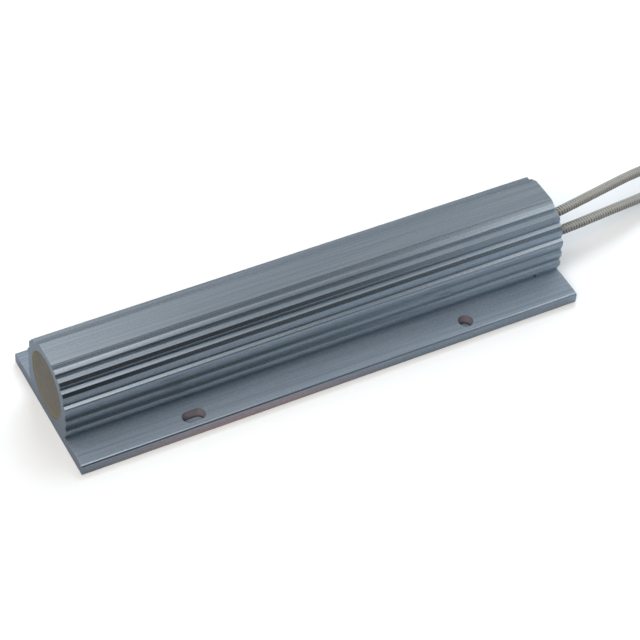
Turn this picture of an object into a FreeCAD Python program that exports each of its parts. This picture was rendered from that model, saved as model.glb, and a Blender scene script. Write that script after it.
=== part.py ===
import FreeCAD, Part
import math
import os

# Aluminium housed wirewound power resistor, flange mounted, with two flying leads at one end.
# Millimetres, +Z up. The base rests on Z = 0 and the origin is at the middle of its underside.
# +X runs along the extrusion towards the leads, and the section is drawn in the YZ plane.

# Extruded housing
housing_length = 244.0
base_width = 72.5
base_thickness = 5.7
bore_radius = 15.3
bore_height = 20.2
fin_wall = 3.5
fin_depth = 1.6
crown_wall = 3.2
flat_width = 13.2
slit_width = 0.6
slit_depth = 0.7
shoulder_run = 1.5
shoulder_fall = 1.25
crest_run = 1.9
crest_fall = 0.8
crest_swell = 0.15
tread_angles = (43.7, 57.7, 77.5)
tread_falls = (0.1, 0.4)
land_drops = (1.3, 1.75)
ledge_fall = 0.55
side_notch_drops = (2.0, 7.93)
side_notch_depth = 1.1
side_notch_lip = 1.0
foot_notch = 1.4
foot_recess = 0.6
flange_fall = 0.45
tip_rounding = 0.16
crest_rounding = 0.9
ledge_rounding = 0.7
lip_rounding = 0.3
belly_share = 0.8
root_rounding = 0.12
flange_rounding = 1.1
heel_rounding = 0.3

# Mounting holes in the two flanges
hole_radius = 3.5
slot_half_width = 3.3
slot_length = 10.8
hole_end_distance = 54.8
hole_edge_distance = 6.25

# Resistance element
former_radius = 8.0
former_bore = 2.9
winding_wire = 0.55
cap_wall = 0.8
cap_skirt = 8.0
cap_face = 1.0
cap_fit = 0.02
winding_end_gap = 0.3
rod_radius = 1.4
rod_weld_stub = 1.5
sleeve_wall = 0.6
sleeve_fit = 0.05
sleeve_overhang = 1.8

# Joints between the element and the leads
ferrule_radius = 2.5
ferrule_bore = 1.6
ferrule_length = 12.0
ferrule_grip = 5.0
ferrule_cap_gap = 3.0
ferrule_seal_gap = 2.0
tag_width = 2.8
tag_thickness = 0.8
tag_foot = 3.6

# Moulding and end seals
seal_recess = 0.4
plain_seal_thickness = 9.0
lead_seal_thickness = 11.6
cast_fit = 0.04
moulding_joint = 0.05

# Flying leads, drawn plain with eight flat sides
lead_radius = 2.3
lead_sides = 8
lead_length = 290.0
strand_radius = 1.05
tinned_length = 10.0
lead_joint_gap = 0.3
side_lead_offset = 5.6
lead_bore_clearance = 0.06

# Coil that the leads are put away in
coil_distance = 148.0
coil_shift = -12.0
coil_radius = 27.6
layer_gap = 0.1
side_entry_angle = -5.0
centre_entry_angle = 35.0
entry_run = 24.0

# Points worked out from the sizes above
half_length = housing_length / 2
half_base = base_width / 2
hole_x = half_length - hole_end_distance
hole_y = half_base - hole_edge_distance
root_radius = bore_radius + fin_wall
envelope_radius = root_radius + fin_depth
flat_height = bore_height + bore_radius + crown_wall
tread_heights = [bore_height + envelope_radius * math.cos(math.radians(a)) for a in tread_angles]
seal_face = half_length - seal_recess
lead_seal_start = seal_face - lead_seal_thickness
plain_seal_start = plain_seal_thickness - seal_face
ferrule_end = lead_seal_start - ferrule_seal_gap
ferrule_start = ferrule_end - ferrule_length
lead_start = ferrule_end + lead_joint_gap
cap_end = ferrule_start - ferrule_cap_gap
former_end = cap_end - cap_face
side_lead_y = -side_lead_offset
side_lead_z = bore_height - side_lead_offset
lower_layer = lead_radius
upper_layer = 3 * lead_radius + layer_gap
coil_centre = (half_length + coil_distance, coil_shift)

# Routes of the two leads from the ferrules to the coil, chosen by hand
centre_lead_route = [
    (lead_start, 0.0, bore_height),
    (half_length + 9.0, 0.0, bore_height),
    (half_length + 36.0, 7.2, bore_height - 2.4),
    (half_length + 64.0, 15.6, bore_height - 7.6),
    (half_length + 92.0, 22.0, 6.4),
    (half_length + 120.0, 27.0, 1.5),
]
side_lead_route = [
    (lead_start, side_lead_y, side_lead_z),
    (half_length + 9.0, side_lead_y, side_lead_z),
    (half_length + 36.0, -2.2, side_lead_z - 2.2),
    (half_length + 62.0, 4.0, side_lead_z - 7.0),
    (half_length + 92.0, 9.6, 3.4),
]


def vec(point):
    return FreeCAD.Vector(*point)


def out_at(radius, height):
    """Half width of a circle about the bore, at a height above the base."""
    return math.sqrt(radius ** 2 - (height - bore_height) ** 2)


def rounded_face(corners):
    """Face in the YZ plane from (y, z, radius) corners, each rounded by a tangent arc."""
    edges = []
    count = len(corners)
    joints = []
    for i, (y, z, radius) in enumerate(corners):
        corner = vec((0, y, z))
        before = vec((0,) + corners[i - 1][:2])
        after = vec((0,) + corners[(i + 1) % count][:2])
        inward = (before - corner).normalize()
        onward = (after - corner).normalize()
        if radius == 0:
            joints.append((corner, None, corner))
            continue
        half_angle = inward.getAngle(onward) / 2
        reach = radius / math.tan(half_angle)
        bisector = (inward + onward).normalize()
        middle = corner + bisector * (radius / math.sin(half_angle) - radius)
        joints.append((corner + inward * reach, middle, corner + onward * reach))
    for i, (start, middle, end) in enumerate(joints):
        if middle is not None:
            edges.append(Part.Arc(start, middle, end).toShape())
        edges.append(Part.LineSegment(end, joints[(i + 1) % count][0]).toShape())
    return Part.Face(Part.Wire(edges))


def half_section():
    """Corners of one half of the section, from the top flat down to the underside of the flange."""
    slit_start = flat_width / 2
    slit_end = slit_start + slit_width
    shoulder = (slit_end + shoulder_run, flat_height - shoulder_fall)
    crest = (shoulder[0] + crest_run, shoulder[1] - crest_fall)
    crest_top = (shoulder[0] + crest_run / 2, shoulder[1] - crest_fall / 2 + crest_swell)
    corners = [
        (slit_start, flat_height, tip_rounding),
        (slit_start + slit_width / 2, flat_height - slit_depth, 0),
        (slit_end, flat_height - slit_depth / 4, tip_rounding / 2),
        (shoulder[0], shoulder[1], crest_rounding),
        (crest_top[0], crest_top[1], crest_rounding),
        (crest[0], crest[1], tip_rounding),
    ]
    for tread, fall, drop in zip(tread_heights, tread_falls, land_drops):
        corners.append((corners[-1][0], tread + fall, root_rounding))
        corners.append((out_at(envelope_radius, tread), tread, tip_rounding))
        corners.append((out_at(envelope_radius, tread - drop), tread - drop, tip_rounding))
    ledge = tread_heights[2]
    ledge_edge = ledge - ledge_fall
    corners.append((out_at(root_radius, ledge), ledge, root_rounding))
    corners.append((out_at(envelope_radius, ledge_edge), ledge_edge, ledge_rounding))
    flange_edge = base_thickness - flange_fall
    flange = [(half_base, flange_edge, flange_rounding), (half_base, 0, heel_rounding)]
    return corners + side_teeth(ledge_edge) + flange


def side_teeth(top):
    """Corners of the three teeth below the ledge, which lean in to their notches from a rounded belly."""
    notches = [bore_height - drop for drop in side_notch_drops]
    notches.append(base_thickness + foot_notch)
    notch_root = envelope_radius - side_notch_depth
    corners = []
    for notch in notches:
        belly = top * 0.7 + notch * 0.3
        corners.append((envelope_radius, belly, belly_share * (top - notch)))
        corners.append((notch_root, notch, root_rounding))
        top = notch - side_notch_lip
        corners.append((envelope_radius, top, lip_rounding))
    # The last tooth stands over a recess at the flange, not over another lip
    foot_root = notch_root - foot_recess
    corners[-1] = (foot_root, notches[-1], root_rounding)
    corners.append((foot_root, base_thickness, root_rounding))
    return corners


def bar(start, end, radius, y=0.0, z=bore_height):
    """Round bar along X between two stations."""
    return Part.makeCylinder(radius, end - start, vec((start, y, z)), vec((1, 0, 0)))


def tube(start, end, outer, inner, y=0.0, z=bore_height):
    """Round tube along X between two stations."""
    return bar(start, end, outer, y, z).cut(bar(start, end, inner, y, z))


def block(start, end, width, height, y, z):
    """Rectangular bar along X, centred on y and z."""
    corner = vec((start, y - width / 2, z - height / 2))
    return Part.makeBox(end - start, width, height, corner)


def slot_cutter(x, y, half_width, length):
    """Upright cutter for a slot that runs along X."""
    straight = length / 2 - half_width
    height = base_thickness + 2
    ends = [Part.makeCylinder(half_width, height, vec((x + side * straight, y, -1))) for side in (-1, 1)]
    middle = Part.makeBox(2 * straight, 2 * half_width, height, vec((x - straight, y - half_width, -1)))
    return middle.fuse(ends)


def housing():
    """Extruded body with its fins, flanges, bore and mounting holes."""
    right = half_section()
    left = [(-y, z, radius) for y, z, radius in reversed(right)]
    body = rounded_face(right + left).extrude(vec((housing_length, 0, 0)))
    body.translate(vec((-half_length, 0, 0)))
    body = body.cut(bar(-half_length - 1, half_length + 1, bore_radius))
    for y in (-hole_y, hole_y):
        body = body.cut(slot_cutter(-hole_x, y, slot_half_width, slot_length))
        body = body.cut(Part.makeCylinder(hole_radius, base_thickness + 2, vec((hole_x, y, -1))))
    return body


def ceramic_former():
    """Ceramic tube that the wire is wound on."""
    return tube(-former_end, former_end, former_radius, former_bore)


def resistance_winding():
    """Single close layer of resistance wire between the two caps."""
    end = former_end - cap_skirt - winding_end_gap
    return tube(-end, end, former_radius + winding_wire, former_radius + cap_fit)


def end_cap(hole_radius_in_face):
    """Pressed cup over the former's end, with its face at +X."""
    inner = former_radius + cap_fit
    skirt = tube(former_end - cap_skirt, cap_end, inner + cap_wall, inner)
    face = tube(former_end, cap_end, inner + cap_wall / 2, hole_radius_in_face)
    return skirt.fuse(face).removeSplitter()


def plain_end_cap():
    """Cap at the end without leads, welded to the return rod."""
    return end_cap(rod_radius + cap_fit).mirror(vec((0, 0, 0)), vec((1, 0, 0)))


def lead_end_cap():
    """Cap at the lead end, with room for the insulated return rod."""
    return end_cap(rod_radius + sleeve_wall + 2 * sleeve_fit)


def return_rod():
    """Solid conductor that brings the far end of the winding back through the former."""
    return bar(-cap_end - rod_weld_stub, ferrule_start + ferrule_grip, rod_radius)


def return_rod_sleeve():
    """Insulating sleeve on the return rod."""
    inner = rod_radius + sleeve_fit
    return tube(-former_end + sleeve_fit, cap_end + sleeve_overhang, rod_radius + sleeve_wall, inner)


def lead_tag():
    """Folded strip welded to the lead end cap, with its arm in the side ferrule."""
    arm = block(cap_end, ferrule_start + ferrule_grip, tag_width, tag_thickness, side_lead_y, side_lead_z)
    foot_z = side_lead_z + tag_foot / 2 - tag_thickness / 2
    foot = block(cap_end, cap_end + tag_thickness, tag_width, tag_foot, side_lead_y, foot_z)
    return arm.fuse(foot).removeSplitter()


def crimp_ferrule(y, z):
    """Crimp ferrule that joins an element conductor to a lead's strands."""
    return tube(ferrule_start, ferrule_end, ferrule_radius, ferrule_bore, y, z)


def strands(y, z):
    """Stripped end of a lead's stranded conductor, inside its ferrule."""
    return bar(ferrule_end - ferrule_grip, lead_start, strand_radius, y, z)


def leads_in_seal(radius, start, end):
    """The two bars where the leads pass, used as cutters."""
    centre = bar(start, end, radius)
    return [centre, bar(start, end, radius, side_lead_y, side_lead_z)]


def moulding():
    """Compound that fills the bore round the element and its joints."""
    fill = bar(plain_seal_start + moulding_joint, lead_seal_start - moulding_joint, bore_radius - cast_fit)
    cap_outer = former_radius + cap_fit + cap_wall
    winding_end = former_end - cap_skirt
    hollows = [
        bar(-cap_end - cast_fit, -winding_end + cast_fit, cap_outer + cast_fit),
        bar(-winding_end, winding_end, former_radius + winding_wire + cast_fit),
        bar(winding_end - cast_fit, cap_end + cast_fit, cap_outer + cast_fit),
        bar(-cap_end - rod_weld_stub - cast_fit, -cap_end, rod_radius + cast_fit),
        bar(cap_end, cap_end + sleeve_overhang + cast_fit, rod_radius + sleeve_wall + cast_fit),
        bar(cap_end, ferrule_start, rod_radius + cast_fit),
    ]
    for y, z in ((0.0, bore_height), (side_lead_y, side_lead_z)):
        hollows.append(bar(ferrule_start - cast_fit, ferrule_end + cast_fit, ferrule_radius + cast_fit, y, z))
    hollows += leads_in_seal(lead_radius + lead_bore_clearance, ferrule_end, lead_seal_start)
    tag_gap = 2 * cast_fit
    hollows.append(block(cap_end, ferrule_start, tag_width + tag_gap, tag_thickness + tag_gap,
                         side_lead_y, side_lead_z))
    foot_z = side_lead_z + tag_foot / 2 - tag_thickness / 2
    hollows.append(block(cap_end, cap_end + tag_thickness + cast_fit, tag_width + tag_gap,
                         tag_foot + tag_gap, side_lead_y, foot_z))
    return fill.cut(hollows)


def plain_end_seal():
    """Flush seal at the end without leads."""
    return bar(-seal_face, plain_seal_start, bore_radius - cast_fit)


def lead_end_seal():
    """Seal that the two leads come out of."""
    seal = bar(lead_seal_start, seal_face, bore_radius - cast_fit)
    return seal.cut(leads_in_seal(lead_radius + lead_bore_clearance, lead_seal_start - 1, half_length))


def coil_point(angle, height):
    """Point on the coil's middle line, with the angle taken clockwise from +Y."""
    a = math.radians(angle)
    x = coil_centre[0] + coil_radius * math.sin(a)
    return vec((x, coil_centre[1] + coil_radius * math.cos(a), height))


def coil_heading(angle):
    """Direction of the lead on the coil at an angle."""
    a = math.radians(angle)
    return vec((math.cos(a), -math.sin(a), 0))


def full_route(points, entry_angle, height):
    """The hand-made route, run on to the coil along the coil's tangent."""
    entry = coil_point(entry_angle, height)
    return [vec(p) for p in points] + [entry - coil_heading(entry_angle) * entry_run, entry]


def route_wire(points):
    """Straight runs joined by tangent arcs as large as the runs allow."""
    edges = []
    radii = []
    start = points[0]
    for before, corner, after in zip(points, points[1:], points[2:]):
        inward = (before - corner).normalize()
        onward = (after - corner).normalize()
        turn = math.pi - inward.getAngle(onward)
        reach = 0.45 * min((corner - before).Length, (after - corner).Length)
        radius = reach / math.tan(turn / 2)
        middle = corner + (inward + onward).normalize() * (radius / math.cos(turn / 2) - radius)
        edges.append(Part.LineSegment(start, corner + inward * reach).toShape())
        edges.append(Part.Arc(corner + inward * reach, middle, corner + onward * reach).toShape())
        start = corner + onward * reach
        radii.append(round(radius, 1))
    edges.append(Part.LineSegment(start, points[-1]).toShape())
    return Part.Wire(edges), radii


def lead_section(radius, centre, heading):
    """Many-sided outline of a lead, with its corners at the radius, square to a level heading."""
    aside = heading.cross(vec((0, 0, 1)))
    corners = []
    for i in range(lead_sides + 1):
        angle = math.pi * (2 * i + 1) / lead_sides
        corners.append(centre + (aside * math.cos(angle) + vec((0, 0, math.sin(angle)))) * radius)
    return Part.makePolygon(corners)


def coil_solid(radius, start_angle, turn, height):
    """Bar bent along the coil, over a turn in degrees."""
    outline = lead_section(radius, coil_point(start_angle, height), coil_heading(start_angle))
    return Part.Face(outline).revolve(vec(coil_centre + (0,)), vec((0, 0, -1)), turn)


def lead(name, points, entry_angle, height):
    """One lead: the plain tube, the turn in the coil and the tinned end."""
    wire, radii = route_wire(full_route(points, entry_angle, height))
    start = vec(points[0])
    outline = lead_section(lead_radius, start, vec((1, 0, 0)))
    run = wire.makePipeShell([outline], True, False)
    section_length = Part.Face(outline).Area * wire.Length
    outside = wire.Length - (half_length - lead_start)
    turn = math.degrees((lead_length - outside) / coil_radius)
    print(name, "bend radii", radii, "tube", round(wire.Length, 2), "volume ratio",
          round(run.Volume / section_length, 5), "coil turn", round(turn, 1))
    coil = coil_solid(lead_radius, entry_angle, turn, height)
    tinned_turn = math.degrees(tinned_length / coil_radius)
    tip = coil_solid(strand_radius, entry_angle + turn, tinned_turn, height)
    return {name: run, name + "_coil": coil, name + "_tinned_end": tip}


nodes = {
    "housing": housing(),
    "ceramic_former": ceramic_former(),
    "resistance_winding": resistance_winding(),
    "plain_end_cap": plain_end_cap(),
    "lead_end_cap": lead_end_cap(),
    "return_rod": return_rod(),
    "return_rod_sleeve": return_rod_sleeve(),
    "lead_tag": lead_tag(),
    "centre_ferrule": crimp_ferrule(0.0, bore_height),
    "side_ferrule": crimp_ferrule(side_lead_y, side_lead_z),
    "centre_lead_strands": strands(0.0, bore_height),
    "side_lead_strands": strands(side_lead_y, side_lead_z),
    "moulding": moulding(),
    "plain_end_seal": plain_end_seal(),
    "lead_end_seal": lead_end_seal(),
}
nodes.update(lead("centre_lead", centre_lead_route, centre_entry_angle, upper_layer))
nodes.update(lead("side_lead", side_lead_route, side_entry_angle, lower_layer))

os.makedirs("parts", exist_ok=True)
for name, shape in nodes.items():
    shape.exportStep("parts/" + name + ".step")
    print(name, "valid", shape.isValid(), "solids", len(shape.Solids), "volume", round(shape.Volume, 1))
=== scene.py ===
# %% [markdown]
# # An aluminium housed power resistor
#
# The part is one extruded aluminium housing with a resistance element cast into its bore and two
# sleeved leads at one end. The CAD model already holds every solid at its real size.
# This lesson dresses it: the camera, the leads, the cast seals, the finishes and the light.

# %% Load the frame
import math
import bpy
from mathutils import Matrix, Vector, noise


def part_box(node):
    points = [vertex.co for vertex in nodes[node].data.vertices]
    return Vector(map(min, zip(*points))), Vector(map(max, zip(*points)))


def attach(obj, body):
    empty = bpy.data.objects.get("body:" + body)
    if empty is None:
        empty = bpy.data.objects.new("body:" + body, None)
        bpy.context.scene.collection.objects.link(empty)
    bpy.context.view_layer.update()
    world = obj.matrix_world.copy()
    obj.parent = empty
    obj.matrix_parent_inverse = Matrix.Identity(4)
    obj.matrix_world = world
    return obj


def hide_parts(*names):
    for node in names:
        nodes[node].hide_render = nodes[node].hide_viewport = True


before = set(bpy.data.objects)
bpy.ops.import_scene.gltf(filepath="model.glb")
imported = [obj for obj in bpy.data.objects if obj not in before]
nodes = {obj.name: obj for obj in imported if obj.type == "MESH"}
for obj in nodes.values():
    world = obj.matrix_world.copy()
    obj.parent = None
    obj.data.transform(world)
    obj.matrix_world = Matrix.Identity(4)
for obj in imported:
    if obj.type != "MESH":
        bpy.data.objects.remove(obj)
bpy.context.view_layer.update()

scene = bpy.context.scene
scene.view_settings.view_transform = "Standard"
MM = 0.001
print("CAD nodes:", len(nodes))

# %% [markdown]
# ## Small helpers
#
# Colours are written as sRGB hex values, as a paint card gives them, and Blender's shaders want linear
# numbers, so one function turns the one into the other. Another adds a node with its settings and links,
# which keeps every node tree below readable from top to bottom. Texture scales count cells per metre, so
# a third turns the size of a grain or line in millimetres into that.

# %% Helpers for colours and node trees
def linear(hex_colour):
    """Linear RGBA of an sRGB hex value such as #A1B2C3."""
    channels = []
    for start in (1, 3, 5):
        value = int(hex_colour[start:start + 2], 16) / 255
        channels.append(value / 12.92 if value <= 0.04045 else ((value + 0.055) / 1.055) ** 2.4)
    return (*channels, 1.0)


def cells_per_metre(size_mm):
    """Texture scale that makes one cell of a pattern as big as the given size."""
    return 1 / (size_mm * MM)


def add_node(tree, kind, settings=None, links=None):
    """Adds a node. Settings name its properties or inputs, and links name what feeds its inputs."""
    node = tree.nodes.new(kind)
    for key, value in (settings or {}).items():
        if isinstance(key, str) and key in node.bl_rna.properties:
            setattr(node, key, value)
        else:
            node.inputs[key].default_value = value
    for key, source in (links or {}).items():
        tree.links.new(source, node.inputs[key])
    return node


def new_material(name):
    """An empty node material, its tree, its Principled shader and its object coordinates."""
    material = bpy.data.materials.new(name)
    material.use_nodes = True
    tree = material.node_tree
    coords = add_node(tree, "ShaderNodeTexCoord").outputs["Object"]
    return material, tree, tree.nodes["Principled BSDF"], coords


print("Mid grey #808080 is", round(linear("#808080")[0], 3), "in linear light")

# %% [markdown]
# ## Camera
#
# The camera stands high on the left and looks down at about 46 degrees with a long lens. The numbers
# come from fitting the housing's straight edges and the bore's circle, so the view is the real one and
# the proportions can be judged by laying one picture over the other.

# %% Place the camera
CAMERA_PLACE = (-0.37048, -0.64958, 0.77392)
CAMERA_DOWN = math.radians(45.697)
CAMERA_TURN = math.radians(30.322)
CAMERA_ROLL = math.radians(3.937)
FOCAL_PIXELS = 2410.0
IMAGE_PIXELS = 640
SENSOR_MM = 36.0

camera = bpy.data.objects.new("camera", bpy.data.cameras.new("camera"))
scene.collection.objects.link(camera)
camera.data.sensor_width = SENSOR_MM
camera.data.lens = FOCAL_PIXELS / IMAGE_PIXELS * SENSOR_MM
camera.data.clip_end = 20.0
pan = Matrix.Rotation(-CAMERA_TURN, 4, "Z")
tilt = Matrix.Rotation(math.pi / 2 - CAMERA_DOWN, 4, "X")
roll = Matrix.Rotation(CAMERA_ROLL, 4, "Z")
camera.matrix_world = Matrix.Translation(CAMERA_PLACE) @ pan @ tilt @ roll
scene.camera = camera
print("Lens", round(camera.data.lens, 1), "mm")

# %% [markdown]
# ## The leads' routes
#
# Each lead is a stranded conductor in silicone with a glass sleeve, 300 mm long. A NURBS curve with one
# control point for each given point of the route gives the smooth line of a springy lead. Only its
# first part is known, where it leaves the bore level and then sinks aside, so the rest lies in one turn
# of a coil on the floor, which a loop makes.

# %% Routes of the two leads
HALF_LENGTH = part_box("housing")[1].x
BORE_HEIGHT = 20.2 * MM
SIDE_OFFSET = 5.6 * MM
SEAL_FACE = HALF_LENGTH - 0.4 * MM
LEAD_START = HALF_LENGTH - 13.7 * MM
LEAD_RADIUS = 2.3 * MM

centre_route = [
    (LEAD_START, 0, BORE_HEIGHT),
    (HALF_LENGTH + 2 * MM, 0, BORE_HEIGHT),
    (HALF_LENGTH + 12 * MM, 0.2 * MM, BORE_HEIGHT + 1.3 * MM),
    (HALF_LENGTH + 36 * MM, 7.2 * MM, BORE_HEIGHT - 2.6 * MM),
    (HALF_LENGTH + 64 * MM, 15.6 * MM, BORE_HEIGHT - 7.6 * MM),
    (HALF_LENGTH + 92 * MM, 22 * MM, 6.4 * MM),
    (HALF_LENGTH + 120 * MM, 27 * MM, 1.5 * MM),
]
side_height = BORE_HEIGHT - SIDE_OFFSET
side_route = [
    (LEAD_START, -SIDE_OFFSET, side_height),
    (HALF_LENGTH + 9 * MM, -SIDE_OFFSET, side_height),
    (HALF_LENGTH + 36 * MM, -1.7 * MM, side_height - 2.1 * MM),
    (HALF_LENGTH + 62 * MM, 4 * MM, side_height - 7 * MM),
    (HALF_LENGTH + 92 * MM, 9.6 * MM, 3.4 * MM),
]
LOWER_COIL_HEIGHT = LEAD_RADIUS + 0.1 * MM
UPPER_COIL_HEIGHT = 3 * LEAD_RADIUS + 0.3 * MM
# For each lead: its route, the angles at which it joins the coil and runs round it, and the coil's height.
leads = {
    "centre_lead": (centre_route, math.radians(35), math.radians(243.4), UPPER_COIL_HEIGHT),
    "side_lead": (side_route, math.radians(-5), math.radians(294.6), LOWER_COIL_HEIGHT),
}
print("Leads leave the bore", BORE_HEIGHT, "and", round(side_height, 4), "m above the floor")

# %% [markdown]
# ## Round the coil
#
# A NURBS curve of this kind touches the middle of each line between two control points. So the points
# are set a little outside the coil's circle, by the amount that makes those middles lie on it.

# %% Points round the coil, and the curve
COIL_CENTRE = Vector((HALF_LENGTH + 148 * MM, -12 * MM, 0))
COIL_RADIUS = 27.3 * MM
COIL_STEP = math.radians(15)
ENTRY_RUN = 24 * MM


def coil_point(angle, height, radius=COIL_RADIUS):
    """Point of the coil, with the angle taken clockwise from +Y."""
    return COIL_CENTRE + Vector((radius * math.sin(angle), radius * math.cos(angle), height))


def coil_turn(start, turn, height):
    """Control points round the coil, whose spline touches its circle between every two of them."""
    steps = round(turn / COIL_STEP)
    step = turn / steps
    outer = COIL_RADIUS / math.cos(step / 2)
    return [coil_point(start + (i + 0.5) * step, height, outer) for i in range(steps)]


def lead_points(route, entry, turn, height):
    """The whole route: as listed to the coil, straight onto it, and round it."""
    heading = Vector((math.cos(entry), -math.sin(entry), 0))
    points = [Vector(p) for p in route]
    points.append(coil_point(entry, height) - heading * ENTRY_RUN)
    points += coil_turn(entry, turn, height)
    points.append(coil_point(entry + turn, height))
    return points


def nurbs_curve(name, points, radius=0.0):
    """Open NURBS curve that starts and ends on its outer points and bends smoothly in between."""
    curve = bpy.data.curves.new(name, "CURVE")
    curve.dimensions = "3D"
    spline = curve.splines.new("NURBS")
    spline.points.add(len(points) - 1)
    for target, point in zip(spline.points, points):
        target.co = (*point, 1.0)
    spline.order_u = 3
    spline.use_endpoint_u = True
    spline.resolution_u = 12
    curve.bevel_depth = radius
    curve.bevel_resolution = 3
    curve.use_fill_caps = True
    thing = bpy.data.objects.new(name, curve)
    scene.collection.objects.link(thing)
    return thing


for name, (route, entry, turn, height) in leads.items():
    print(name, "has", len(lead_points(route, entry, turn, height)), "control points")

# %% [markdown]
# ## The sleeve, with Geometry Nodes
#
# The sleeve is made of broad glass yarns wound close together, which show as fine ribs nearly square
# across the lead, a little over a millimetre apart. Two yarns wind one way on top, and two wind the
# other way a little deeper, so that it doesn't unwind. Modelling that by hand would mean thousands of
# faces, and a bump map would look flat where the lead turns away. A node tree states the rule once:
# copy the lead's middle line, and push each copy out in a direction that turns as it runs. That
# direction comes first. A path has a tangent and a normal at each point, and their cross product is the
# third axis, so cosine and sine of the angle give any direction square to the path.

# %% The direction from the lead's middle to a strand
def strand_direction(tree, turns, index, count, hand):
    """Direction from the lead's middle to a strand, which turns as the strand runs along."""
    tangent = add_node(tree, "GeometryNodeInputTangent").outputs["Tangent"]
    normal = add_node(tree, "GeometryNodeInputNormal").outputs["Normal"]
    aside = add_node(tree, "ShaderNodeVectorMath", {"operation": "CROSS_PRODUCT"}, {0: tangent, 1: normal})
    share = add_node(tree, "ShaderNodeMath", {"operation": "DIVIDE"}, {0: index, 1: count})
    first_angle = add_node(tree, "ShaderNodeMath", {"operation": "MULTIPLY", 1: math.tau},
                           {0: share.outputs[0]})
    angle = add_node(tree, "ShaderNodeMath", {"operation": "MULTIPLY_ADD", 1: hand * math.tau},
                     {0: turns, 2: first_angle.outputs[0]})
    cosine = add_node(tree, "ShaderNodeMath", {"operation": "COSINE"}, {0: angle.outputs[0]})
    sine = add_node(tree, "ShaderNodeMath", {"operation": "SINE"}, {0: angle.outputs[0]})
    across = add_node(tree, "ShaderNodeVectorMath", {"operation": "SCALE"},
                      {0: normal, "Scale": cosine.outputs[0]})
    along = add_node(tree, "ShaderNodeVectorMath", {"operation": "SCALE"},
                     {0: aside.outputs[0], "Scale": sine.outputs[0]})
    outward = add_node(tree, "ShaderNodeVectorMath", {"operation": "ADD"},
                       {0: across.outputs[0], 1: along.outputs[0]})
    return outward.outputs[0]


print("A strand starts its turn at its own share of", round(math.tau, 3), "radians")

# %% [markdown]
# ## One layer of strands
#
# Each strand is pushed out to its layer and rises and dives a little in step with its neighbours, as
# woven yarns do. That beat is a cosine over the number of strands met so far. Each point also keeps a
# number, called shade, with which the finish paints shade: darker on the lower layer and where a strand
# dives, so that the ribs stand out.

# %% Strands of one hand
SHADE_OF_WEAVE = 0.3
SHADE_OF_LAYER = 0.7


def wound_layer(tree, given, middle_line, profile, hand, count_name):
    """The strands of one layer. Hand is 1 for those that wind to the right and -1 for the left."""
    count = given[count_name]
    copies = add_node(tree, "GeometryNodeDuplicateElements", {"domain": "SPLINE"},
                      {"Geometry": middle_line, "Amount": count})
    index = copies.outputs["Duplicate Index"]
    run = add_node(tree, "GeometryNodeSplineParameter").outputs["Length"]
    turns = add_node(tree, "ShaderNodeMath", {"operation": "DIVIDE"}, {0: run, 1: given["Pitch"]})
    outward = strand_direction(tree, turns.outputs[0], index, count, hand)
    crossings = add_node(tree, "ShaderNodeMath", {"operation": "MULTIPLY"}, {0: turns.outputs[0], 1: count})
    phase = add_node(tree, "ShaderNodeMath",
                     {"operation": "MULTIPLY_ADD", 1: hand * math.pi, 2: -math.pi / 4},
                     {0: crossings.outputs[0]})
    beat = add_node(tree, "ShaderNodeMath", {"operation": "MULTIPLY_ADD", 1: math.pi},
                    {0: index, 2: phase.outputs[0]})
    swing = add_node(tree, "ShaderNodeMath", {"operation": "COSINE"}, {0: beat.outputs[0]})
    lift = add_node(tree, "ShaderNodeMath", {"operation": "MULTIPLY", 1: hand}, {0: swing.outputs[0]})
    layer = add_node(tree, "ShaderNodeMath", {"operation": "MULTIPLY_ADD", 1: hand},
                     {0: given["Layer Step"], 2: given["Radius"]})
    distance = add_node(tree, "ShaderNodeMath", {"operation": "MULTIPLY_ADD"},
                        {0: lift.outputs[0], 1: given["Weave Depth"], 2: layer.outputs[0]})
    offset = add_node(tree, "ShaderNodeVectorMath", {"operation": "SCALE"},
                      {0: outward, "Scale": distance.outputs[0]})
    # Painted shade: the lower layer, and a strand where it dives, get a darker number.
    shade = add_node(tree, "ShaderNodeMath",
                     {"operation": "MULTIPLY_ADD", 1: SHADE_OF_WEAVE, 2: SHADE_OF_LAYER * hand},
                     {0: lift.outputs[0]})
    noted = add_node(tree, "GeometryNodeStoreNamedAttribute", {"data_type": "FLOAT", "Name": "shade"},
                     {"Geometry": copies.outputs[0], "Value": shade.outputs[0]})
    keep = add_node(tree, "GeometryNodeCaptureAttribute", {"domain": "POINT"}, {"Geometry": noted.outputs[0]})
    keep.capture_items.new("VECTOR", "Outward")
    tree.links.new(outward, keep.inputs["Outward"])
    moved = add_node(tree, "GeometryNodeSetPosition",
                     links={"Geometry": keep.outputs["Geometry"], "Offset": offset.outputs[0]})
    faced = add_node(tree, "GeometryNodeSetCurveNormal", {"mode": "FREE"},
                     {"Curve": moved.outputs[0], "Normal": keep.outputs["Outward"]})
    skin = add_node(tree, "GeometryNodeCurveToMesh", {"Fill Caps": True},
                    {"Curve": faced.outputs[0], "Profile Curve": profile})
    return skin.outputs[0]


print("Shade runs from", -SHADE_OF_LAYER - SHADE_OF_WEAVE, "to", SHADE_OF_LAYER + SHADE_OF_WEAVE)

# %% [markdown]
# ## The whole tree
#
# The path is cut into even steps, both layers are wound round it with one flat five-sided profile, and
# the strands are joined, made real and given their material. Its named inputs let the same tree make
# the bare ends too: six wires twisted round a seventh.

# %% The node tree for strands wound round a path
TREE_INPUTS = {"Right Hand Strands": "Int", "Left Hand Strands": "Int", "Pitch": "Float",
               "Radius": "Float", "Layer Step": "Float", "Weave Depth": "Float",
               "Strand Width": "Float", "Strand Thickness": "Float", "Step": "Float",
               "Material": "Material"}
PROFILE_SIDES = 5


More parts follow.
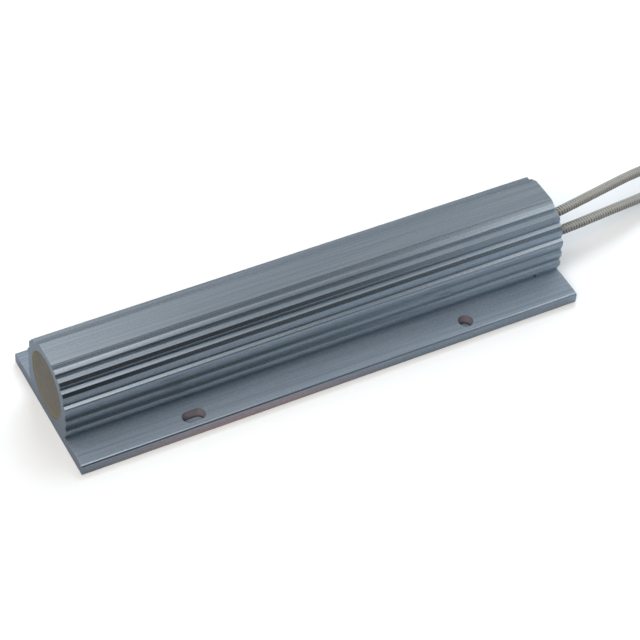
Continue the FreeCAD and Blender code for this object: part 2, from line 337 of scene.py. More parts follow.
def strand_tree():
    """Geometry Nodes tree that winds strands both ways round an edge path."""
    tree = bpy.data.node_groups.new("wound_strands", "GeometryNodeTree")
    tree.interface.new_socket("Geometry", in_out="INPUT", socket_type="NodeSocketGeometry")
    for name, kind in TREE_INPUTS.items():
        tree.interface.new_socket(name, in_out="INPUT", socket_type="NodeSocket" + kind)
    tree.interface.new_socket("Geometry", in_out="OUTPUT", socket_type="NodeSocketGeometry")

    given = add_node(tree, "NodeGroupInput").outputs
    path = add_node(tree, "GeometryNodeMeshToCurve", links={"Mesh": given["Geometry"]})
    even = add_node(tree, "GeometryNodeResampleCurve", {"mode": "LENGTH"},
                    {"Curve": path.outputs["Curve"], "Length": given["Step"]})
    circle = add_node(tree, "GeometryNodeCurvePrimitiveCircle", {"Resolution": PROFILE_SIDES, "Radius": 0.5})
    size = add_node(tree, "ShaderNodeCombineXYZ",
                    links={"X": given["Strand Thickness"], "Y": given["Strand Width"]})
    profile = add_node(tree, "GeometryNodeTransform",
                       links={"Geometry": circle.outputs["Curve"], "Scale": size.outputs["Vector"]})
    joined = add_node(tree, "GeometryNodeJoinGeometry")
    for hand, count_name in ((1, "Right Hand Strands"), (-1, "Left Hand Strands")):
        strands = wound_layer(tree, given, even.outputs["Curve"], profile.outputs[0], hand, count_name)
        tree.links.new(strands, joined.inputs[0])
    smooth = add_node(tree, "GeometryNodeSetShadeSmooth", links={"Geometry": joined.outputs[0]})
    real = add_node(tree, "GeometryNodeRealizeInstances", links={"Geometry": smooth.outputs[0]})
    coat = add_node(tree, "GeometryNodeSetMaterial",
                    links={"Geometry": real.outputs[0], "Material": given["Material"]})
    add_node(tree, "NodeGroupOutput", links={"Geometry": coat.outputs[0]})
    return tree


wound_strands = strand_tree()
print("The strand tree has", len(wound_strands.nodes), "nodes")

# %% [markdown]
# ## Run the tree
#
# A modifier takes a value by its socket's identifier, not by its name, so a loop looks each one up. The
# result is read from the evaluated object as a plain mesh, and the modifier has then done its work.

# %% From a path to a plain mesh
def with_nodes(name, source_mesh, tree, values):
    """Runs a node tree on a mesh and returns the result as a plain mesh object."""
    thing = bpy.data.objects.new(name, source_mesh)
    scene.collection.objects.link(thing)
    modifier = thing.modifiers.new("nodes", "NODES")
    modifier.node_group = tree
    for item in tree.interface.items_tree:
        if item.in_out == "INPUT" and item.name in values:
            modifier[item.identifier] = values[item.name]
    depsgraph = bpy.context.evaluated_depsgraph_get()
    result = bpy.data.meshes.new_from_object(thing.evaluated_get(depsgraph))
    thing.modifiers.remove(modifier)
    thing.data = result
    result.name = name
    print(name, "has", sum(len(p.vertices) - 2 for p in result.polygons), "triangles")
    return thing


def path_mesh(name, points):
    """The points of a spline, as Blender works them out, joined by edges."""
    guide = nurbs_curve(name + "_guide", points)
    depsgraph = bpy.context.evaluated_depsgraph_get()
    mesh = bpy.data.meshes.new_from_object(guide.evaluated_get(depsgraph))
    bpy.data.objects.remove(guide)
    return mesh


print("Tree inputs to set:", len(TREE_INPUTS))

# %% [markdown]
# ## Materials of the leads
#
# Woven glass fibre is off-white and matt, greyed by handling. Its ribs are real geometry, so the
# material only has to vary: the shade number paints shade on what lies deep, a patchy soiling
# runs along the lead, and a fine pattern stands for the bundle of fibres in each yarn.

# %% Glass fibre, silicone core and tinned copper
SOIL_PATCH = cells_per_metre(11.1)
FIBRE_BUNDLE = cells_per_metre(0.192)
DEEP_SHADE_SHARE = 0.62


def glass_fibre():
    """Glass fibre sleeve: dull and off-white, with painted shade between its yarns, a little soiled."""
    material, tree, shader, coords = new_material("woven_glass_fibre")
    soil = add_node(tree, "ShaderNodeTexNoise", {"Scale": SOIL_PATCH, "Detail": 4.0}, {"Vector": coords})
    fibres = add_node(tree, "ShaderNodeTexNoise", {"Scale": FIBRE_BUNDLE, "Detail": 2.0}, {"Vector": coords})
    tone = add_node(tree, "ShaderNodeMix", {"data_type": "RGBA", 6: linear("#B1AFA8"), 7: linear("#D0CFC9")},
                    {0: soil.outputs["Fac"]})
    shade = add_node(tree, "ShaderNodeAttribute", {"attribute_name": "shade"})
    # Painted shade: yarns on the lower layer, and where they dive, are darker.
    painted_shade = add_node(tree, "ShaderNodeMapRange", {1: -1.0, 2: 1.0, 3: DEEP_SHADE_SHARE, 4: 1.0},
                    {0: shade.outputs["Fac"]})
    woven = add_node(tree, "ShaderNodeMix", {"data_type": "RGBA", "blend_type": "MULTIPLY", 0: 1.0},
                     {6: tone.outputs[2], 7: painted_shade.outputs[0]})
    mottle = add_node(tree, "ShaderNodeMix", {"data_type": "RGBA", "blend_type": "MULTIPLY", 0: 0.3},
                      {6: woven.outputs[2], 7: fibres.outputs["Color"]})
    bump = add_node(tree, "ShaderNodeBump", {"Strength": 0.35, "Distance": 0.05 * MM},
                    {"Height": fibres.outputs["Fac"]})
    tree.links.new(mottle.outputs[2], shader.inputs["Base Color"])
    tree.links.new(bump.outputs["Normal"], shader.inputs["Normal"])
    shader.inputs["Roughness"].default_value = 0.85
    shader.inputs["IOR"].default_value = 1.5
    return material


def plain_finish(name, colour, roughness, metallic=0.0, grain_mm=0.5, contrast=0.15):
    """A moulded, cast or plated finish: one colour with a fine grain of the given size."""
    material, tree, shader, coords = new_material(name)
    grain = add_node(tree, "ShaderNodeTexNoise", {"Scale": cells_per_metre(grain_mm), "Detail": 3.0},
                     {"Vector": coords})
    dark = tuple(c * (1 - contrast) for c in linear(colour)[:3]) + (1.0,)
    tone = add_node(tree, "ShaderNodeMix", {"data_type": "RGBA", 6: dark, 7: linear(colour)},
                    {0: grain.outputs["Fac"]})
    bump = add_node(tree, "ShaderNodeBump", {"Strength": 0.2, "Distance": grain_mm * MM / 5},
                    {"Height": grain.outputs["Fac"]})
    tree.links.new(tone.outputs[2], shader.inputs["Base Color"])
    tree.links.new(bump.outputs["Normal"], shader.inputs["Normal"])
    shader.inputs["Roughness"].default_value = roughness
    shader.inputs["Metallic"].default_value = metallic
    return material


glass_sleeve = glass_fibre()
silicone_core = plain_finish("silicone_rubber_core", "#77746A", 0.7)
tinned_copper = plain_finish("tinned_copper_strands", "#B8B6AF", 0.35, metallic=1.0, grain_mm=0.2)
print("Lead finishes:", glass_sleeve.name, silicone_core.name, tinned_copper.name)

# %% [markdown]
# ## Build the leads
#
# The bevelled curve is the silicone core. The sleeve follows the same spline, read back as points from
# a copy with no bevel, and so does the short bare end with its seven twisted wires.

# %% Make the cords
CORE_RADIUS = 1.9 * MM
TINNED_LENGTH = 10 * MM
SLEEVE = {"Right Hand Strands": 2, "Left Hand Strands": 2, "Pitch": 3.0 * MM, "Radius": 2.12 * MM,
          "Layer Step": 0.06 * MM, "Weave Depth": 0.04 * MM, "Strand Width": 1.08 * MM,
          "Strand Thickness": 0.36 * MM, "Step": 0.16 * MM, "Material": glass_sleeve}
WIRES = {"Right Hand Strands": 6, "Left Hand Strands": 1, "Pitch": 14 * MM, "Radius": 0.36 * MM,
         "Layer Step": 0.36 * MM, "Weave Depth": 0.0, "Strand Width": 0.72 * MM,
         "Strand Thickness": 0.72 * MM, "Step": 0.4 * MM, "Material": tinned_copper}


def make_lead(name, route, entry, turn, height):
    """Core, sleeve and bare end of one lead."""
    points = lead_points(route, entry, turn, height)
    core = nurbs_curve(name + "_core", points, CORE_RADIUS)
    core.data.materials.append(silicone_core)
    sleeve = with_nodes(name + "_braid", path_mesh(name, points), wound_strands, SLEEVE)
    tip_turn = TINNED_LENGTH / COIL_RADIUS
    start = entry + turn
    tip_points = [coil_point(start, height)]
    tip_points += coil_turn(start, tip_turn, height)
    tip_points.append(coil_point(start + tip_turn, height))
    tip = with_nodes(name + "_bare_wires", path_mesh(name + "_tip", tip_points), wound_strands, WIRES)
    for piece in (core, sleeve, tip):
        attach(piece, "root")
    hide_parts(name, name + "_coil")
    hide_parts(name + "_tinned_end")


for name, facts in leads.items():
    make_lead(name, *facts)

# %% [markdown]
# ## Where a finish changes
#
# One solid can carry several finishes: drawn faces, sawn ends, flange tops with painted light, drilled holes.
# Painting them by hand would need a map for every face. Instead, a mask asks simple questions of each
# point, such as how high it lies and which way its surface faces, and multiplies the answers. It is one
# where all of them hold and zero elsewhere.

# %% Masks from place and direction
def split(tree, vector):
    """X, Y and Z of a vector, as they are and without their signs."""
    plain = add_node(tree, "ShaderNodeSeparateXYZ", links={0: vector})
    unsigned = add_node(tree, "ShaderNodeVectorMath", {"operation": "ABSOLUTE"}, {0: vector})
    size = add_node(tree, "ShaderNodeSeparateXYZ", links={0: unsigned.outputs[0]})
    return plain.outputs, size.outputs


def mask(tree, *questions):
    """1 where every question holds. Each question is what it reads, a comparison and a limit."""
    answer = None
    for measure, comparison, limit in questions:
        test = add_node(tree, "ShaderNodeMath", {"operation": comparison, 1: limit}, {0: measure})
        if answer is None:
            answer = test
        else:
            answer = add_node(tree, "ShaderNodeMath", {"operation": "MULTIPLY"},
                              {0: answer.outputs[0], 1: test.outputs[0]})
    return answer.outputs[0]


FLANGE_HEIGHT = 6 * MM
HOLE_BAND = (25 * MM, 35.6 * MM)


def housing_masks(tree, coords):
    """Masks for the sawn ends, the flanges, their level tops and the walls of their holes."""
    place, distance = split(tree, coords)
    facing, slant = split(tree, add_node(tree, "ShaderNodeNewGeometry").outputs["Normal"])
    low = (place["Z"], "LESS_THAN", FLANGE_HEIGHT)
    return {
        "sawn": mask(tree, (slant["X"], "GREATER_THAN", 0.9)),
        "painted_flange_light": mask(tree, low, (facing["Z"], "GREATER_THAN", 0.3)),
        "flange_top": mask(tree, low, (facing["Z"], "GREATER_THAN", 0.99)),
        "drilled": mask(tree, (facing["Z"], "LESS_THAN", 0.5),
                        (distance["Y"], "GREATER_THAN", HOLE_BAND[0]),
                        (distance["Y"], "LESS_THAN", HOLE_BAND[1]),
                        (distance["X"], "LESS_THAN", HALF_LENGTH - 0.5 * MM)),
    }


print("Flanges are below", FLANGE_HEIGHT, "m, with holes from", HOLE_BAND[0], "to", HOLE_BAND[1], "m aside")

# %% [markdown]
# ## Marks of the die and the saw
#
# A hot billet is pushed through a die, whose edge leaves fine straight lines along the whole length, and
# handling adds a speckle of tiny dull spots. The ends are sawn, which leaves marks across them. Both
# are noise patterns, pulled long in one direction by the three scales of a Mapping node. The lines are
# wider than real ones, because those are too fine to show at this distance.

# %% Patterns for drawn and sawn metal
DIE_LINE = [cells_per_metre(size) for size in (83.3, 1.25, 1.25)]
DIE_BAND = [cells_per_metre(size) for size in (111.1, 2.38, 2.38)]
SAW_MARK = [0.0, cells_per_metre(2.0), cells_per_metre(0.3846)]
SAW_SLOPE = (0.35, 0, 0)
DULL_SPOT = cells_per_metre(0.667)
SPOT_SHARE = 0.4


def metal_marks(tree, coords):
    """Die lines, broad bands, saw marks, and the lines and spots together as wear from 0 to 1."""
    stretch = add_node(tree, "ShaderNodeMapping", {"Scale": DIE_LINE}, {"Vector": coords})
    lines = add_node(tree, "ShaderNodeTexNoise", {"Scale": 1.0, "Detail": 4.0, "Roughness": 0.6},
                     {"Vector": stretch.outputs[0]})
    spots = add_node(tree, "ShaderNodeTexNoise", {"Scale": DULL_SPOT, "Detail": 2.0}, {"Vector": coords})
    mixed = add_node(tree, "ShaderNodeMix", {"data_type": "FLOAT", 0: SPOT_SHARE},
                     {2: lines.outputs["Fac"], 3: spots.outputs["Fac"]})
    wear = add_node(tree, "ShaderNodeMapRange", {1: 0.4, 2: 0.6}, {0: mixed.outputs[0]})
    broad = add_node(tree, "ShaderNodeMapping", {"Scale": DIE_BAND}, {"Vector": coords})
    bands = add_node(tree, "ShaderNodeTexNoise", {"Scale": 1.0, "Detail": 2.0}, {"Vector": broad.outputs[0]})
    cut = add_node(tree, "ShaderNodeMapping", {"Scale": SAW_MARK, "Rotation": SAW_SLOPE}, {"Vector": coords})
    saw = add_node(tree, "ShaderNodeTexNoise", {"Scale": 1.0, "Detail": 3.0}, {"Vector": cut.outputs[0]})
    return lines.outputs["Fac"], bands.outputs["Fac"], saw.outputs["Fac"], wear.outputs[0]


print("Die lines per metre across:", round(DIE_LINE[1]))

# %% [markdown]
# ## Tones of the housing
#
# Bare aluminium has a cool, bluish white tone. The sawn ends and the flanges' tops and edges are a
# shade lighter, which is painted light. The holes' walls are dark and a little brown, darker still at
# the bottom as painted shade. A small spot near the lead end, at a nick, is darker and warmer.

# %% Tones of drawn and sawn metal, with painted light on the flanges
NICK_PLACE = (110 * MM, -18.7 * MM, 6.4 * MM)
NICK_SIZE = (0.9 * MM, 1.6 * MM, 1.2 * MM)
HOLE_SHADE_DEPTH = (0.3 * MM, 1.6 * MM)


def metal_tone(tree, wear, saw, masks):
    """Colour of the outer metal, layer over layer."""
    tone = None
    layers = (("drawn", wear, "#C9D4DD", "#E2EBF2"),
              # The sawn ends carry real saw marks, and their lighter tone is painted light.
              ("sawn", saw, "#DDE8F2", "#F6FBFF"),
              # Painted light: the flanges' tops and rounded edges are lighter.
              ("painted_flange_light", wear, "#D3E1ED", "#EEF7FF"))
    for name, pattern, dull, bright in layers:
        own = add_node(tree, "ShaderNodeMix", {"data_type": "RGBA", 6: linear(dull), 7: linear(bright)},
                       {0: pattern})
        if tone is None:
            tone = own.outputs[2]
        else:
            tone = add_node(tree, "ShaderNodeMix", {"data_type": "RGBA"},
                            {0: masks[name], 6: tone, 7: own.outputs[2]}).outputs[2]
    return tone


def with_hole_shade_and_nick(tree, coords, tone, masks):
    """The tone with the holes' walls dark, with painted shade towards their bottom, and the nick darker."""
    height = add_node(tree, "ShaderNodeSeparateXYZ", links={0: coords}).outputs["Z"]
    # Painted shade: the holes' walls darken towards their bottom.
    depth = add_node(tree, "ShaderNodeMapRange", {1: HOLE_SHADE_DEPTH[0], 2: HOLE_SHADE_DEPTH[1]}, {0: height})
    wall = add_node(tree, "ShaderNodeMix", {"data_type": "RGBA", 6: linear("#4E4B50"), 7: linear("#989199")},
                    {0: depth.outputs[0]})
    holed = add_node(tree, "ShaderNodeMix", {"data_type": "RGBA"},
                     {0: masks["drilled"], 6: tone, 7: wall.outputs[2]})
    # A darker, warmer spot where the nick is.
    nick = add_node(tree, "ShaderNodeMapping",
                    {"vector_type": "TEXTURE", "Location": NICK_PLACE, "Scale": NICK_SIZE},
                    {"Vector": coords})
    reach = add_node(tree, "ShaderNodeVectorMath", {"operation": "LENGTH"}, {0: nick.outputs[0]})
    share = add_node(tree, "ShaderNodeMapRange", {1: 1.0, 2: 0.5}, {0: reach.outputs["Value"]})
    marked = add_node(tree, "ShaderNodeMix", {"data_type": "RGBA", 7: linear("#9C9296")},
                      {0: share.outputs[0], 6: holed.outputs[2]})
    return marked.outputs[2]


print("The nick is", round(1000 * 2 * NICK_SIZE[0], 1), "mm long")

# %% [markdown]
# ## Put the housing's finish together
#
# A die polishes what it draws, so the fins are smooth and mirror their neighbours, which gives the
# housing its bands of light and dark. The flanges' level tops are scratched matt, as parts are slid
# and stacked on them, and the sawn ends lie between. Roughness says this. The hole walls are dull,
# so their metallic share is low.

# %% Extruded aluminium
DRAWN_ROUGHNESS = 0.25
FLANGE_ROUGHNESS = 0.54
BAND_ROUGHNESS = 0.07
SAWN_ROUGHNESS = 0.42
HOLE_WALL_METALLIC = 0.3


def extruded_aluminium():
    """Natural extruded aluminium with die lines, sawn ends, scratched flanges and drilled holes."""
    material, tree, shader, coords = new_material("extruded_aluminium_6063")
    masks = housing_masks(tree, coords)
    lines, bands, saw, wear = metal_marks(tree, coords)
    tone = with_hole_shade_and_nick(tree, coords, metal_tone(tree, wear, saw, masks), masks)
    metal = add_node(tree, "ShaderNodeMix", {"data_type": "FLOAT", 2: 1.0, 3: HOLE_WALL_METALLIC},
                     {0: masks["drilled"]})
    mean = add_node(tree, "ShaderNodeMix", {"data_type": "FLOAT", 2: DRAWN_ROUGHNESS, 3: FLANGE_ROUGHNESS},
                    {0: masks["flange_top"]})
    drawn = add_node(tree, "ShaderNodeMath", {"operation": "MULTIPLY_ADD", 1: BAND_ROUGHNESS},
                     {0: bands, 2: mean.outputs[0]})
    rough = add_node(tree, "ShaderNodeMix", {"data_type": "FLOAT", 3: SAWN_ROUGHNESS},
                     {0: masks["sawn"], 2: drawn.outputs[0]})
    height = add_node(tree, "ShaderNodeMix", {"data_type": "FLOAT"}, {0: masks["sawn"], 2: lines, 3: saw})
    bump = add_node(tree, "ShaderNodeBump", {"Strength": 0.25, "Distance": 0.02 * MM},
                    {"Height": height.outputs[0]})
    tree.links.new(tone, shader.inputs["Base Color"])
    tree.links.new(metal.outputs[0], shader.inputs["Metallic"])
    tree.links.new(rough.outputs[0], shader.inputs["Roughness"])
    tree.links.new(bump.outputs["Normal"], shader.inputs["Normal"])
    return material


def coat(node_name, material):
    """Gives a CAD node its finish."""
    mesh = nodes[node_name].data
    mesh.materials.clear()
    mesh.materials.append(material)


aluminium = extruded_aluminium()
coat("housing", aluminium)
print("Housing coated with", aluminium.name, "of", len(aluminium.node_tree.nodes), "nodes")

# %% [markdown]
# ## Cast seals
#
# The bore's ends are closed with a grey brown cement, filled to just below the rim. Cast cement is never
# flat: it creeps up the wall, sinks a little in the middle and clings to the leads. A sculpted surface
# would be hard to repeat, so one function gives the height at each point.

# %% The cement's height
SEAL_RADIUS = 15.26 * MM
SEAL_DISH = 0.22 * MM
SEAL_RIPPLE = 0.05 * MM
RIPPLES_PER_METRE = 260
WALL_CREEP = 0.3 * MM
WALL_CREEP_WIDTH = 0.7 * MM
LEAD_CREEP = 0.45 * MM
LEAD_CREEP_WIDTH = 0.6 * MM


def seal_height(y, z, lead_places):
    """How far the cement stands out of its mean plane at a point of the bore."""
    radius = math.hypot(y, z)
    height = WALL_CREEP * math.exp((radius - SEAL_RADIUS) / WALL_CREEP_WIDTH)
    height -= SEAL_DISH * (1 - (radius / SEAL_RADIUS) ** 2)
    height += SEAL_RIPPLE * noise.noise(Vector((y, z, 0.002)) * RIPPLES_PER_METRE)
    for lead_y, lead_z in lead_places:
        gap = math.hypot(y - lead_y, z - lead_z) - LEAD_RADIUS
        height += LEAD_CREEP * math.exp(-max(gap, 0) / LEAD_CREEP_WIDTH)
    return height


print("The middle lies", round(-seal_height(0, 0, []) / MM, 2), "mm deep and the wall",
      round(seal_height(SEAL_RADIUS, 0, []) / MM, 2), "mm high")

# %% [markdown]
# ## Discs of rings
#
# A disc of rings and spokes follows that height with few faces, and its rows come out evenly round the
# bore. A flat back closes it, so that the mesh is a solid and the light can't leak in.

# %% Seal discs
SEAL_RINGS = 40
SEAL_SPOKES = 128


def seal_vertices(side, inner_x, lead_places):
    """Middle, rings, back rim and back middle of a disc."""
    vertices = [(side * (SEAL_FACE + seal_height(0, 0, lead_places)), 0, BORE_HEIGHT)]
    for ring in range(1, SEAL_RINGS + 1):
        radius = SEAL_RADIUS * ring / SEAL_RINGS
        for spoke in range(SEAL_SPOKES):
            angle = math.tau * spoke / SEAL_SPOKES
            y, z = radius * math.cos(angle), radius * math.sin(angle)
            x = side * (SEAL_FACE + seal_height(y, z, lead_places))
            vertices.append((x, y, z + BORE_HEIGHT))
    for vertex in vertices[-SEAL_SPOKES:]:
        vertices.append((inner_x, *vertex[1:]))
    vertices.append((inner_x, 0, BORE_HEIGHT))
    return vertices


def seal_faces(back):
    """Faces of a disc that looks along +X. Back is the number of its last vertex."""
    faces = []
    for spoke in range(SEAL_SPOKES):
        after = (spoke + 1) % SEAL_SPOKES
        faces.append((0, 1 + spoke, 1 + after))
        for ring in range(SEAL_RINGS):
            base = 1 + ring * SEAL_SPOKES
            outer = base + SEAL_SPOKES
            faces.append((base + spoke, outer + spoke, outer + after, base + after))
        faces.append((back - SEAL_SPOKES + spoke, back, back - SEAL_SPOKES + after))
    return faces


def cast_seal(name, node_name, side, lead_places, material):
    """Closed disc of cement in one end of the bore. Side is the X direction that it faces."""
    inner_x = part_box(node_name)[0].x if side > 0 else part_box(node_name)[1].x
    vertices = seal_vertices(side, inner_x, lead_places)
    faces = seal_faces(len(vertices) - 1)
    if side < 0:
        faces = [face[::-1] for face in faces]
    mesh = bpy.data.meshes.new(name)
    mesh.from_pydata(vertices, [], faces)
    mesh.shade_smooth()
    mesh.materials.append(material)
    piece = bpy.data.objects.new(name, mesh)
    scene.collection.objects.link(piece)
    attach(piece, "root")
    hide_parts(node_name)
    print(name, "has", len(faces), "faces")
    return piece


print("A seal has", SEAL_RINGS, "rings of", SEAL_SPOKES, "points")

# %% [markdown]
# ## The cement's finish
#
# Filled silicone cement is matt and mottled, because its mineral filler settles unevenly while it cures.
# A thin yellow brown line runs round it, where oil has crept in between the cement and the wall. The
# distance from the bore's middle tells where that is.

# %% Cast cement
FILLER_GRAIN = cells_per_metre(1.11)
FILLER_CLOUD = cells_per_metre(6.25)
STAIN_START = SEAL_RADIUS - 2.4 * MM
STAIN_END = SEAL_RADIUS - 0.1 * MM


def cast_cement():
    """Filled silicone cement: matt, grey brown, mottled, and yellowed where it meets the wall."""
    material, tree, shader, coords = new_material("cast_silicone_cement")
    grain = add_node(tree, "ShaderNodeTexNoise", {"Scale": FILLER_GRAIN, "Detail": 4.0}, {"Vector": coords})
    cloud = add_node(tree, "ShaderNodeTexNoise", {"Scale": FILLER_CLOUD, "Detail": 3.0}, {"Vector": coords})
    body = add_node(tree, "ShaderNodeMix", {"data_type": "RGBA", 6: linear("#857F74"), 7: linear("#9B958B")},
                    {0: cloud.outputs["Fac"]})
    speckle = add_node(tree, "ShaderNodeMix", {"data_type": "RGBA", "blend_type": "OVERLAY", 0: 0.45},
                       {6: body.outputs[2], 7: grain.outputs["Color"]})
    centred = add_node(tree, "ShaderNodeMapping", {"Location": (0, 0, -BORE_HEIGHT), "Scale": (0, 1, 1)},
                       {"Vector": coords})
    reach = add_node(tree, "ShaderNodeVectorMath", {"operation": "LENGTH"}, {0: centred.outputs[0]})
    rim = add_node(tree, "ShaderNodeMapRange", {1: STAIN_START, 2: STAIN_END}, {0: reach.outputs["Value"]})
    stained = add_node(tree, "ShaderNodeMix", {"data_type": "RGBA", 7: linear("#979073")},
                       {0: rim.outputs[0], 6: speckle.outputs[2]})
    bump = add_node(tree, "ShaderNodeBump", {"Strength": 0.3, "Distance": 0.08 * MM},
                    {"Height": grain.outputs["Fac"]})
    tree.links.new(stained.outputs[2], shader.inputs["Base Color"])
    tree.links.new(bump.outputs["Normal"], shader.inputs["Normal"])
    shader.inputs["Roughness"].default_value = 0.75
    shader.inputs["IOR"].default_value = 1.45
    return material


cement = cast_cement()
cast_seal("plain_end_cement", "plain_end_seal", -1, [], cement)
cast_seal("lead_end_cement", "lead_end_seal", 1, [(0, 0), (-SIDE_OFFSET, -SIDE_OFFSET)], cement)

# %% [markdown]
# ## The parts inside
#
# Nobody sees the element once the bore is filled, but the model can be cut open, so each piece has the
# finish of its stuff: unglazed ceramic, dull resistance wire, nickel plated steel, varnished sleeving.

# %% Finishes of the hidden pieces
ceramic = plain_finish("unglazed_steatite", "#E4E0D4", 0.8, grain_mm=0.3, contrast=0.06)
resistance_wire = plain_finish("oxidised_nickel_chromium_wire", "#8C857A", 0.4, 1.0, 0.3, 0.3)
nickel_plate = plain_finish("nickel_plated_steel", "#B9B5AC", 0.25, 1.0, 0.4, 0.08)
sleeving = plain_finish("varnished_glass_sleeving", "#CFC4A4", 0.55, grain_mm=0.4)
compound = plain_finish("filled_moulding_compound", "#827C72", 0.8, grain_mm=0.6)
hidden_finishes = {
    "ceramic_former": ceramic,
    "resistance_winding": resistance_wire,
    "plain_end_cap": nickel_plate,
    "lead_end_cap": nickel_plate,
    "return_rod": nickel_plate,
    "return_rod_sleeve": sleeving,
    "lead_tag": nickel_plate,
    "centre_ferrule": nickel_plate,
    "side_ferrule": nickel_plate,
    "centre_lead_strands": tinned_copper,
    "side_lead_strands": tinned_copper,
    "moulding": compound,
}
for name, finish in hidden_finishes.items():
    coat(name, finish)
print("Hidden pieces coated:", len(hidden_finishes))

# %% [markdown]
# ## Floor
#
# The floor is pale for the eye. Bare metal is a mirror, though, and its upright faces should mirror a
# darker bench, so that they stand out. A Light Path node tells the two apart: rays straight from the
# camera meet the pale tone, and rays that bounce off the object meet the bench, a painted reflection.
# Its painted light grows towards the lead end, a warm patch in front paints a warm reflection on the
# flange's side, and it fades to black far off. The camera's own tone is grey under the part, painted
# shade, or white would shine up through its holes.

# %% Tones of the floor
BENCH_NEAR = 0.15
BENCH_FAR = 0.6
WARM_REFLECTION_PLACE = (-45 * MM, -37.2 * MM, 0)
WARM_REFLECTION_SIZE = (70 * MM, 4 * MM, 1)


def painted_reflection_tone(tree, coords):
    """Painted reflection: what the metal mirrors instead of the pale floor."""
    place = add_node(tree, "ShaderNodeSeparateXYZ", links={0: coords})
    # Painted reflection and light: lighter towards the lead end, warm in front, black far off.
    along = add_node(tree, "ShaderNodeMapRange", {1: -HALF_LENGTH, 2: HALF_LENGTH}, {0: place.outputs["X"]})
    near = add_node(tree, "ShaderNodeMix", {"data_type": "RGBA", 6: linear("#7C8188"), 7: linear("#8E949C")},
                    {0: along.outputs[0]})
    patch = add_node(tree, "ShaderNodeMapping",
                     {"vector_type": "TEXTURE", "Location": WARM_REFLECTION_PLACE, "Scale": WARM_REFLECTION_SIZE},
                     {"Vector": coords})
    patch_reach = add_node(tree, "ShaderNodeVectorMath", {"operation": "LENGTH"}, {0: patch.outputs[0]})
    patch_share = add_node(tree, "ShaderNodeMapRange", {1: 1.1, 2: 0.4}, {0: patch_reach.outputs["Value"]})
    close = add_node(tree, "ShaderNodeMix", {"data_type": "RGBA", 7: linear("#A08C8D")},
                     {0: patch_share.outputs[0], 6: near.outputs[2]})
    reach = add_node(tree, "ShaderNodeVectorMath", {"operation": "LENGTH"}, {0: coords})
    away = add_node(tree, "ShaderNodeMapRange", {1: BENCH_NEAR, 2: BENCH_FAR}, {0: reach.outputs["Value"]})
    bench = add_node(tree, "ShaderNodeMix", {"data_type": "RGBA", 7: linear("#303030")},
                     {0: away.outputs[0], 6: close.outputs[2]})
    return bench.outputs[2]


def floor_material():
    """Pale matt floor, with painted shade grey under the part, and a painted reflection tone in mirror rays.
    """
    material, tree, shader, coords = new_material("pale_floor")
    distance = split(tree, coords)[1]
    # Painted shade: the floor is grey under the part, where its holes show it.
    under = mask(tree, (distance["X"], "LESS_THAN", HALF_LENGTH - 2 * MM),
                 (distance["Y"], "LESS_THAN", 35 * MM))
    seen = add_node(tree, "ShaderNodeMix", {"data_type": "RGBA", 6: linear("#F4F4F4"), 7: linear("#8793A0")},
                    {0: under})
    ray = add_node(tree, "ShaderNodeLightPath")
    tone = add_node(tree, "ShaderNodeMix", {"data_type": "RGBA"},
                    {0: ray.outputs["Is Camera Ray"], 6: painted_reflection_tone(tree, coords), 7: seen.outputs[2]})
    tree.links.new(tone.outputs[2], shader.inputs["Base Color"])
    shader.inputs["Roughness"].default_value = 0.9
    shader.inputs["Specular IOR Level"].default_value = 0.0
    return material


print("The bench fades out from", BENCH_NEAR, "to", BENCH_FAR, "m")

# %% [markdown]
# ## Lay the floor
#
# One large square is enough, because the floor has no edge in view. It lies a hair below the part, so
# that the two never share a plane, which would show as flicker.

# %% The floor
FLOOR_SIZE = 8.0
FLOOR_DROP = 0.05 * MM

half = FLOOR_SIZE / 2
floor_mesh = bpy.data.meshes.new("floor")
floor_mesh.from_pydata([(-half, -half, -FLOOR_DROP), (half, -half, -FLOOR_DROP),
                        (half, half, -FLOOR_DROP), (-half, half, -FLOOR_DROP)], [], [(0, 1, 2, 3)])
floor_mesh.materials.append(floor_material())
floor = bpy.data.objects.new("floor", floor_mesh)
scene.collection.objects.link(floor)
print("Floor", FLOOR_SIZE, "m wide")

# %% [markdown]
# ## Light
#
# Bare metal shows its surroundings, so the lamps are placed by what each face mirrors. Two soft boxes
# hang overhead, a strong one over each end, and brighten the crests of the fins there. Weaker ones
# behind them carry that light over to the flat crown. In front it is dark, apart from two cards at the
# right, so the sloped undersides of the fins are near black at the plain end and grey at the lead end.
# Two fills light only matt things, so that the floor is white without washing out the metal. Their
# slight warm and cool tints are those of a lamp and of a window.

# %% Studio lamps
COOL = "#E6F4FF"


def area_light(name, place, target, size, brightness, tint="#FFFFFF", in_mirrors=True):
    """A soft box that points at a target, with the brightness that its face shows in a mirror."""
    data = bpy.data.lights.new(name, "AREA")
    data.shape = "RECTANGLE"
    data.color = linear(tint)[:3]
    data.size, data.size_y = size
    data.energy = brightness * size[0] * size[1] * math.pi
    lamp = bpy.data.objects.new(name, data)
    scene.collection.objects.link(lamp)
    aim = Vector(target) - Vector(place)
    lamp.matrix_world = Matrix.Translation(place) @ aim.to_track_quat("-Z", "Y").to_matrix().to_4x4()
    lamp.visible_glossy = in_mirrors
    lamp.visible_camera = False
    return lamp


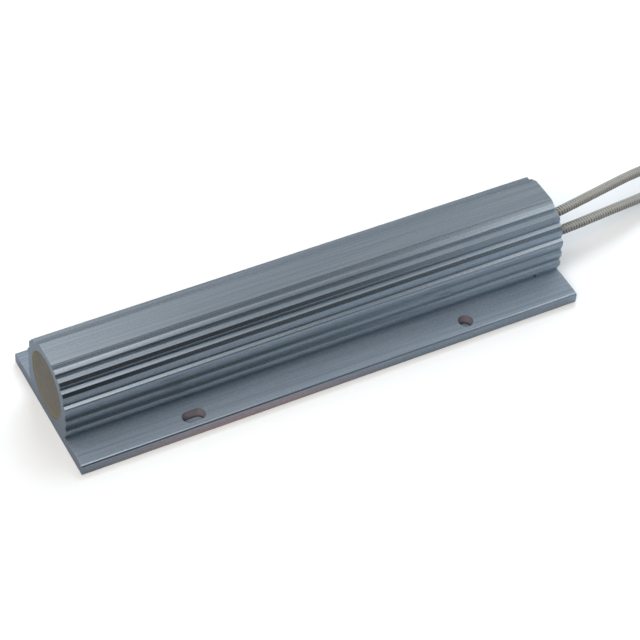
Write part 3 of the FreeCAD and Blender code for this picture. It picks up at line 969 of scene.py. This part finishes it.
area_light("left_soft_box", (-0.08, -0.06, 0.5), (-0.08, -0.06, 0.0), (0.32, 0.28), 0.61)
area_light("left_far_box", (-0.08, 0.27, 0.5), (-0.08, 0.27, 0.0), (0.32, 0.38), 0.34)
area_light("right_soft_box", (0.50, -0.095, 0.5), (0.50, -0.095, 0.0), (0.36, 0.35), 0.74)
area_light("right_far_box", (0.50, 0.21, 0.5), (0.50, 0.21, 0.0), (0.36, 0.26), 0.3)
area_light("front_card", (0.42, -0.36, 0.30), (0.42, 0.0, 0.30), (0.36, 0.46), 0.33, COOL)
area_light("middle_card", (0.14, -0.40, 0.09), (0.14, 0.0, 0.09), (0.2, 0.12), 0.07, COOL)
area_light("matt_fill", (-0.7, -0.7, 1.1), (0.0, 0.0, 0.0), (1.2, 1.2), 4.3, "#FFFAF3", in_mirrors=False)
area_light("back_fill", (0.5, 0.7, 0.9), (0.2, 0.2, 0.0), (0.9, 0.9), 4.2, "#E8F5FF", in_mirrors=False)

# %% [markdown]
# ## The room
#
# Between the lamps the metal mirrors the room: mid grey behind and overhead, dark in front. A colour
# ramp over the angle between straight up and the back gives that, in a slightly blue daylight tone.

# %% The room's tones
ROOM_TINT = (0.88, 0.95, 1.03)
ROOM_FRONT = 0.003
ROOM_BACK = 0.3
ROOM_STOPS = ((0.20, 0.006), (0.34, 0.11), (0.45, 0.28), (0.60, 0.31), (0.75, 0.31))


def studio_world():
    """Room seen in mirrors: mid grey behind and overhead, dark in front."""
    world = bpy.data.worlds.new("studio")
    world.use_nodes = True
    tree = world.node_tree
    direction = add_node(tree, "ShaderNodeTexCoord").outputs["Generated"]
    part = add_node(tree, "ShaderNodeSeparateXYZ", links={0: direction})
    angle = add_node(tree, "ShaderNodeMath", {"operation": "ARCTAN2"},
                     {0: part.outputs["Y"], 1: part.outputs["Z"]})
    share = add_node(tree, "ShaderNodeMapRange", {1: -math.pi / 2, 2: math.pi / 2}, {0: angle.outputs[0]})
    ramp = add_node(tree, "ShaderNodeValToRGB", links={0: share.outputs[0]})
    stops = ramp.color_ramp.elements
    stops[0].position, stops[0].color = 0.0, (ROOM_FRONT, ROOM_FRONT, ROOM_FRONT, 1)
    stops[1].position, stops[1].color = 1.0, (ROOM_BACK, ROOM_BACK, ROOM_BACK, 1)
    for place, value in ROOM_STOPS:
        stops.new(place).color = (*[channel * value for channel in ROOM_TINT], 1)
    background = tree.nodes["Background"]
    tree.links.new(ramp.outputs["Color"], background.inputs["Color"])
    background.inputs["Strength"].default_value = 1.0
    scene.world = world
    return world


print("Room:", studio_world().name)
